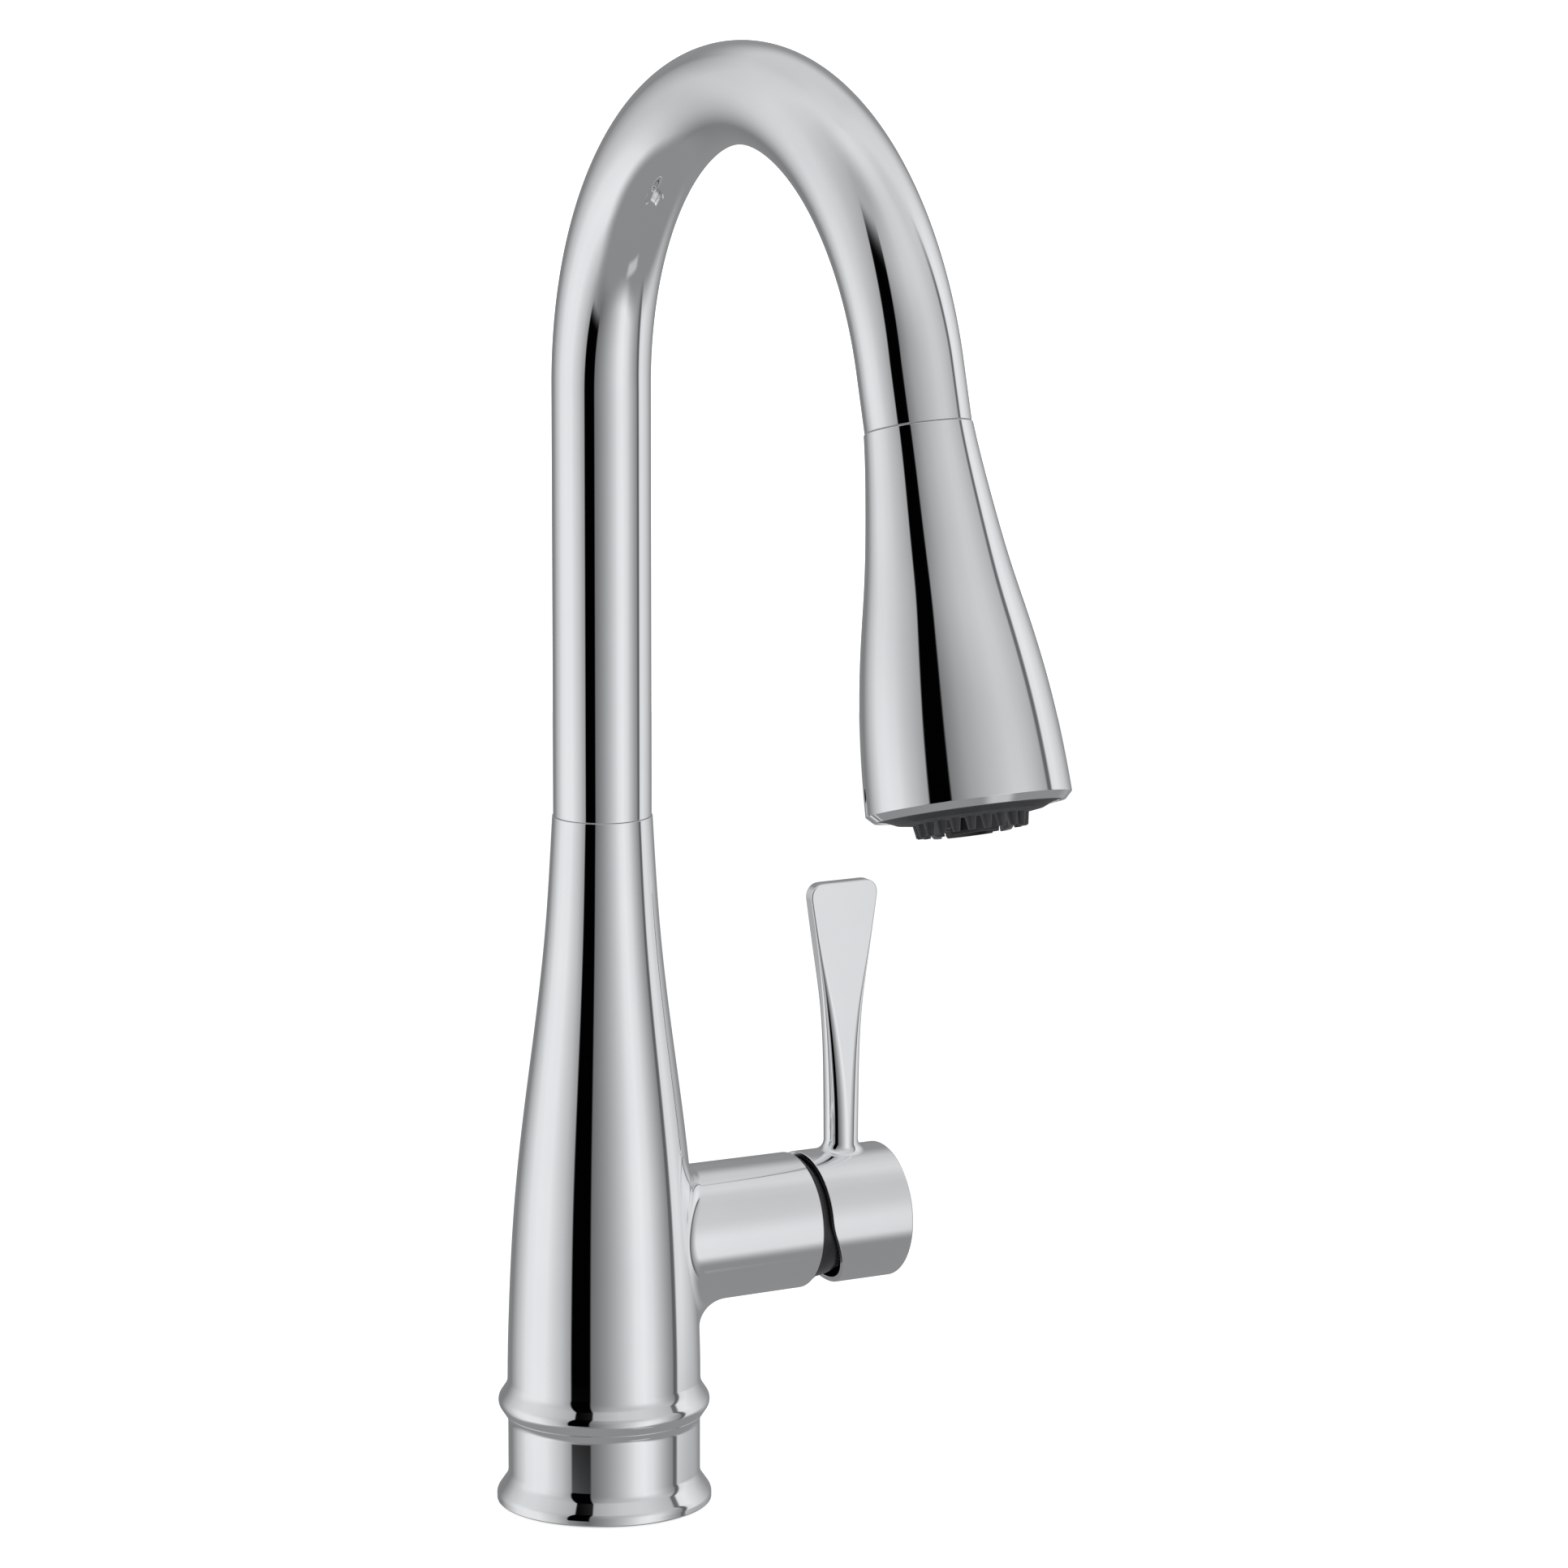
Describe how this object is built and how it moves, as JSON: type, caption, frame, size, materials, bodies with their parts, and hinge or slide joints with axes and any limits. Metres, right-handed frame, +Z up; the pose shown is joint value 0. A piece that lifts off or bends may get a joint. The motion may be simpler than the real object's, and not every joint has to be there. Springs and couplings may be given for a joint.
{
  "type": "pull-down kitchen faucet",
  "caption": "Single-lever pull-down kitchen faucet: bell-shaped body with a side valve arm and slim upright lever, high-arc swivelling neck, flared spray head on a hose.",
  "frame": {"origin": "centre of the deck hole on the deck's surface, where the foot's gasket rests", "axes": "+Z up, -Y towards the user and the spray head, +X towards the handle"},
  "size_m": [0.1111, 0.2371, 0.4817],
  "materials": {
    "chrome": "bright polished chrome plate",
    "brass": "turned brass",
    "copper": "drawn copper",
    "steel": "plain stainless steel",
    "black_rubber": "matt black rubber",
    "nozzle_rubber": "soft matt dark grey rubber",
    "white_plastic": "moulded, satin",
    "dark_plastic": "dark grey, satin",
    "black_plastic": "black, glossy",
    "ceramic": "lapped alumina",
    "hose_braid": "grey nylon braid"
  },
  "bodies": {
    "base": {"base_ring": "chrome", "deck_gasket": "black_rubber", "body_shell": "chrome", "shank": "brass", "rubber_washer": "black_rubber", "steel_washer": "steel", "mounting_nut": "brass", "nut_screws": "steel", "hot_tail": "copper", "cold_tail": "copper", "mixed_tail": "copper", "upper_bushing": "white_plastic", "lower_bushing": "white_plastic", "glide_ring": "black_plastic", "port_seals": "black_rubber", "cartridge_base": "white_plastic", "fixed_disc": "ceramic", "cartridge_housing": "white_plastic", "housing_o_ring": "black_rubber", "retaining_nut": "brass", "bonnet": "black_plastic"},
    "carrier": {"carrier": "white_plastic", "carrier_o_ring": "black_rubber", "pivot_pin": "steel"},
    "disc": {"moving_disc": "ceramic", "disc_driver": "white_plastic"},
    "handle": {"handle": "chrome", "cartridge_stem": "steel", "set_screw": "steel", "screw_plug": "chrome"},
    "spout": {"neck_tube": "chrome", "neck_stem": "brass", "retaining_clip": "steel", "docking_collar": "white_plastic", "spray_hose": "hose_braid", "hose_plug": "brass", "hose_lead": "hose_braid"},
    "hose_end": {"hose_ferrule": "brass"},
    "spray_head": {"spray_shell": "chrome", "head_core": "white_plastic", "swivel_nut": "brass", "hose_washer": "black_rubber", "check_valve": "white_plastic", "rocker_pin": "steel", "face_seal": "black_rubber", "face_plate": "dark_plastic", "nozzle_ring": "nozzle_rubber", "aerator_housing": "black_plastic", "aerator_insert": "white_plastic", "aerator_screen": "steel"},
    "rocker": {"mode_rocker": "dark_plastic"},
    "spool": {"diverter_spool": "white_plastic", "spool_seals": "black_rubber"}
  },
  "joints": [
    {"name": "spout_swivel", "type": "hinge", "parent": "base", "child": "spout", "pos_m": [0, 0, 0], "axis": [0, 0, 1], "continuous": true},
    {"name": "hose_pull", "type": "slide", "parent": "spout", "child": "hose_end", "axis": [0, -0.2756, -0.9613], "range_m": [0, 0.19], "deforming": ["hose_lead"]},
    {"name": "head_spin", "type": "hinge", "parent": "hose_end", "child": "spray_head", "pos_m": [0, -0.16118, 0.30175], "axis": [0, -0.2756, -0.9613], "continuous": true},
    {"name": "mode_rock", "type": "hinge", "parent": "spray_head", "child": "rocker", "pos_m": [0, -0.1594, 0.26587], "axis": [1, 0, 0], "range_deg": [0, 10]},
    {"name": "spool_slide", "type": "slide", "parent": "spray_head", "child": "spool", "axis": [0, -0.2756, -0.9613], "range_m": [0, 0.0011]},
    {"name": "handle_turn", "type": "hinge", "parent": "base", "child": "carrier", "pos_m": [0, 0, 0.0684], "axis": [1, 0, 0], "range_deg": [-45, 45]},
    {"name": "handle_tilt", "type": "hinge", "parent": "carrier", "child": "handle", "pos_m": [0.059, 0, 0.0684], "axis": [0, 1, 0], "range_deg": [0, 22]},
    {"name": "disc_slide", "type": "slide", "parent": "carrier", "child": "disc", "axis": [0, 0, 1], "range_m": [0, 0.0037]}
  ],
  "couplings": [
    {"joint": "spool_slide", "follows": "mode_rock", "m_per_rad": 0.0061},
    {"joint": "disc_slide", "follows": "handle_tilt", "m_per_rad": 0.0094}
  ]
}
